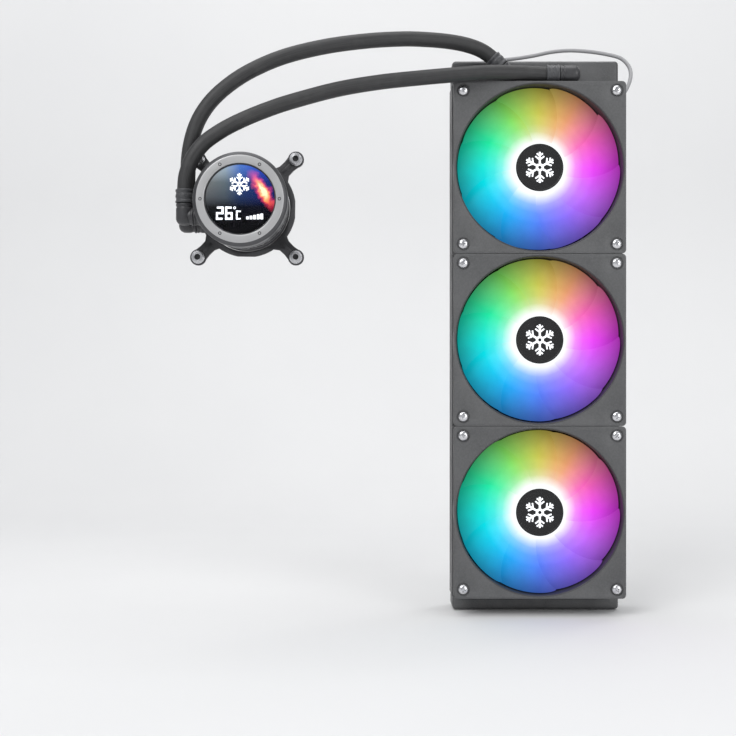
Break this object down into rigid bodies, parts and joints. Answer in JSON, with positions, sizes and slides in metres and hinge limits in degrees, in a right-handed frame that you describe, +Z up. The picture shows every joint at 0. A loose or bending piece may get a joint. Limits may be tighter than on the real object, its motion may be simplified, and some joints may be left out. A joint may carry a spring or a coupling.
{
  "type": "liquid cooling radiator",
  "caption": "Sealed computer liquid cooler: a long radiator with lit fans on its face, two rubber hoses and a round pump head with a display.",
  "frame": {"origin": "centre of the radiator's rear mounting plane, on the middle fan's axis", "axes": "+Z up along the row of fans, towards the tank with the hose ports; +X to the viewer's right; -Y towards the viewer, the way the fans and the display face"},
  "size_m": [0.3686, 0.1302, 0.4729],
  "materials": {
    "coated_aluminium": "fine satin black powder coat",
    "fin_aluminium": "thin satin black paint over aluminium",
    "frame_plastic": "fine-grained matte",
    "frosted_plastic": "frosted translucent, lit from inside",
    "dark_plastic": "satin moulded",
    "steel": "zinc-plated",
    "copper": "milled bare copper",
    "rubber": "matte black",
    "silver_metal": "satin grey",
    "display_glass": "clear polished",
    "display_screen": "dark glossy panel",
    "winding": "enamelled copper wire on a steel core"
  },
  "bodies": {
    "cooler": {"tank_top": "coated_aluminium", "tank_bottom": "coated_aluminium", "side_rail_left": "coated_aluminium", "side_rail_right": "coated_aluminium", "fin_core": "fin_aluminium", "fill_plug": "dark_plastic", "fan_1_frame": "frame_plastic", "fan_1_stator": "winding", "fan_1_screw_1": "steel", "fan_1_screw_2": "steel", "fan_1_screw_3": "steel", "fan_1_screw_4": "steel", "fan_2_frame": "frame_plastic", "fan_2_stator": "winding", "fan_2_screw_1": "steel", "fan_2_screw_2": "steel", "fan_2_screw_3": "steel", "fan_2_screw_4": "steel", "fan_3_frame": "frame_plastic", "fan_3_stator": "winding", "fan_3_screw_1": "steel", "fan_3_screw_2": "steel", "fan_3_screw_3": "steel", "fan_3_screw_4": "steel", "radiator_elbow_supply": "dark_plastic", "radiator_collar_supply": "dark_plastic", "pump_elbow_supply": "dark_plastic", "pump_collar_supply": "dark_plastic", "hose_supply": "rubber", "radiator_elbow_return": "dark_plastic", "radiator_collar_return": "dark_plastic", "pump_elbow_return": "dark_plastic", "pump_collar_return": "dark_plastic", "hose_return": "rubber", "fan_lead": "rubber", "fan_lead_hank": "rubber", "fan_lead_connector": "dark_plastic", "plate_gasket": "rubber", "pump_stator": "winding", "pump_cover": "dark_plastic", "display_panel": "display_screen", "display_lens": "display_glass", "bezel_ring": "silver_metal", "cold_plate": "copper", "pump_housing": "dark_plastic", "mounting_bracket": "steel", "mounting_screw_1": "steel", "mounting_screw_2": "steel", "mounting_screw_3": "steel", "mounting_screw_4": "steel"},
    "fan_1_rotor": {"fan_1_rotor": "frosted_plastic", "fan_1_hub_cap": "dark_plastic", "fan_1_shaft": "steel"},
    "fan_2_rotor": {"fan_2_rotor": "frosted_plastic", "fan_2_hub_cap": "dark_plastic", "fan_2_shaft": "steel"},
    "fan_3_rotor": {"fan_3_rotor": "frosted_plastic", "fan_3_hub_cap": "dark_plastic", "fan_3_shaft": "steel"},
    "pump_impeller": {"pump_impeller": "dark_plastic"}
  },
  "joints": [
    {"name": "fan_1_spin", "type": "hinge", "parent": "cooler", "child": "fan_1_rotor", "pos_m": [0, -0.0399, 0.14], "axis": [0, 1, 0], "continuous": true},
    {"name": "fan_2_spin", "type": "hinge", "parent": "cooler", "child": "fan_2_rotor", "pos_m": [0, -0.0399, 0], "axis": [0, 1, 0], "continuous": true},
    {"name": "fan_3_spin", "type": "hinge", "parent": "cooler", "child": "fan_3_rotor", "pos_m": [0, -0.0399, -0.14], "axis": [0, 1, 0], "continuous": true},
    {"name": "pump_spin", "type": "hinge", "parent": "cooler", "child": "pump_impeller", "pos_m": [-0.236, -0.0826, 0.1046], "axis": [0, 1, 0], "continuous": true}
  ]
}
